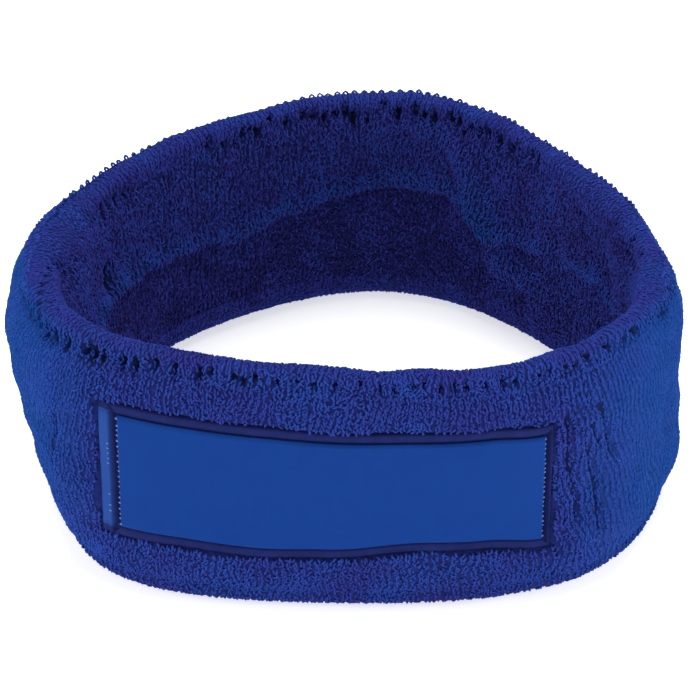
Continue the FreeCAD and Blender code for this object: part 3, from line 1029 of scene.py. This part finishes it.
def hem_places(x, z):
    """Distances beyond the satin: at the left, at the right, and above or below."""
    return PANEL_LEFT - x, x - PANEL_RIGHT, np.maximum(PANEL_LOW - z, z - PANEL_HIGH)


def hem_depth(x, z, edge):
    """The folded margin: wide with a stitched ridge at the left, narrow at the other sides."""
    at_left, at_right, up_down = hem_places(x, z)
    across = np.maximum(up_down, np.maximum(at_left, at_right))
    depth = np.where(across < 0, 1.0, 0.68 + 0.4 * np.clip(1 - across / 0.45, 0, 1))
    depth = depth - 0.15 * bump(across, 1.2, 0.9) * (up_down > 0)
    share = np.clip(at_left / 0.3, 0, 1) * (at_left > up_down - 0.3)
    rise = 1.2 - 0.8 * bump(at_left, 1.85, 0.5) - 0.5 * np.clip((at_left - 1.9) / 0.5, 0, 1)
    depth = depth * (1 - share) + rise * share
    share = np.clip(at_right / 0.2, 0, 1) * (at_right > up_down - 0.2)
    rise = 1.15 - 0.65 * bump(at_right, 1.3, 0.45)
    depth = depth * (1 - share) + rise * share
    return depth + 0.6 * np.clip(1 - edge / 0.4, 0, 1) ** 2


def hem_shades(x, z):
    """Painted light makes the left fold brighter. Painted shade darkens the grooves beside the satin and
    round the two long strips, darkest in the shadow line under the lower one.
    """
    at_left, at_right, up_down = hem_places(x, z)
    light = np.clip((at_left - 1.3) / 0.4, 0, 1) * (up_down < 0.6)
    deep = bump(at_left, 0.6, 0.7) * (up_down < 0) + bump(at_right, 0.5, 0.5) * (up_down < 0)
    deep = deep + 0.9 * bump(PANEL_LOW - z, 2.1, 0.45) + 0.3 * bump(z - PANEL_HIGH, 1.9, 0.4)
    return {"light": light, "deep": np.clip(deep + 0.25 * bump(up_down, 0.2, 0.4), 0, 1)}


def label_hem():
    """The hem that frames the satin, over the pile-free window."""
    hem = slab("label_hem_fold", spaced(WINDOW_LEFT, WINDOW_RIGHT, 0.14, 0.7, 5.0, 2.6),
               spaced(WINDOW_LOW, WINDOW_HIGH, 0.14, 0.7, 3.2, 3.0), hem_depth, even(1.75), hem_shades)
    dress(hem, satin_hem, "satin_hem", "label_hem", "label_ground")


def nodules(name, x, z, depth, radius):
    """Short beads of thread on the face, along the band."""
    z = z + label_shift(x, z)
    around = around_at(x, z)
    skin = outer_skin(face_offset, -0.1)
    base, along, up, normal = skin_frame(skin, around, z, 1)
    base = base - normal * (depth - 0.1)[:, None]
    reach = np.linspace(-1, 1, 6)
    line = base[:, None] + along[:, None] * (radius[:, None] * 1.25 * reach)[..., None]
    thick = radius[:, None] * np.sqrt(np.clip(1.03 - reach ** 2, 0, None))
    return tubes(name, line, up, thick, np.full(len(x), 0.5))


def label_threads():
    """The bright thread nodules down both ends of the satin, and a few on the left fold."""
    rows = []
    for x, depth, size, chance in STITCH_ROWS:
        z = np.arange(PANEL_LOW + 0.7, PANEL_HIGH - 0.4, STITCH_PITCH)
        z = z[rng.uniform(0, 1, len(z)) < chance]
        count = len(z)
        z = z + rng.normal(0, 0.08, count)
        x = x + rng.normal(0, 0.05, count)
        rows.append((x, z, np.full(count, depth), size * rng.uniform(0.8, 1.2, count)))
    beads = nodules("label_thread_nodules", *(np.concatenate(values) for values in zip(*rows)))
    dress(beads, thread, "label_thread", "label_stitching")


panel = label_panel()
label_backing()
label_hem()
label_threads()

# ------------------------------ elastic, kept from the CAD

for node in ("top_welt_elastic", "bottom_welt_elastic", "body_elastic_yarns"):
    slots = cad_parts[node].data.materials
    slots.clear()
    slots.append(elastic)

# ------------------------------ studio

FLOOR_HALF = 3
FLOOR_GLOW = 0.62
WORLD_GLOW = 0.3
BAND_MIDDLE = Vector((0, 0, BAND_HEIGHT / 2 * MM))


def white_floor():
    mesh = bpy.data.meshes.new("floor")
    corners = [(x * FLOOR_HALF, y * FLOOR_HALF, 0) for x, y in ((-1, -1), (1, -1), (1, 1), (-1, 1))]
    mesh.from_pydata(corners, [], [(0, 1, 2, 3)])
    finish = Shader("floor_white", 0.9)
    finish.out.inputs["Emission Color"].default_value = (1, 1, 1, 1)
    finish.out.inputs["Emission Strength"].default_value = FLOOR_GLOW
    mesh.materials.append(finish.color((0.9, 0.9, 0.9)))
    return link(bpy.data.objects.new("floor", mesh))


def white_world():
    world = bpy.data.worlds.new("studio")
    world.use_nodes = True
    background = world.node_tree.nodes["Background"]
    background.inputs[0].default_value = (1, 1, 1, 1)
    background.inputs[1].default_value = WORLD_GLOW
    bpy.context.scene.world = world
    bpy.context.scene.view_settings.view_transform = "Standard"


def soft_light(name, spot, power, size):
    """A square light that looks at the middle of the band."""
    data = bpy.data.lights.new(name, "AREA")
    data.energy = power
    data.size = size
    lamp = link(bpy.data.objects.new(name, data))
    lamp.location = spot
    lamp.rotation_mode = "QUATERNION"
    lamp.rotation_quaternion = (BAND_MIDDLE - lamp.location).to_track_quat("-Z", "Y")


floor = white_floor()
white_world()
soft_light("left_box", (-0.8, -0.2, 0.3), 3.2, 0.5)
soft_light("right_box", (0.8, -0.2, 0.3), 3.2, 0.5)
soft_light("top_box", (0.0, 0.15, 0.9), 6.0, 0.6)
soft_light("front_fill", (0.0, -1.0, 0.3), 2.4, 0.6)

# ------------------------------ camera

CAMERA_TARGET = Vector((0.0006, -0.0091, 0.025))
CAMERA_FAR = 0.528
CAMERA_DOWN = math.radians(30)
SENSOR = 36
LENS = 139.063


def studio_camera():
    eye = bpy.data.cameras.new("camera")
    eye.sensor_width = SENSOR
    eye.lens = LENS
    eye.clip_start = 0.01
    camera = link(bpy.data.objects.new("camera", eye))
    backward = Vector((0, -math.cos(CAMERA_DOWN), math.sin(CAMERA_DOWN)))
    camera.location = CAMERA_TARGET + backward * CAMERA_FAR
    camera.rotation_euler = (math.pi / 2 - CAMERA_DOWN, 0, 0)
    bpy.context.scene.camera = camera


studio_camera()

# ------------------------------ the inner plies' loop pieces, as lists

for ply, loops in inner_plies:
    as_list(loops)
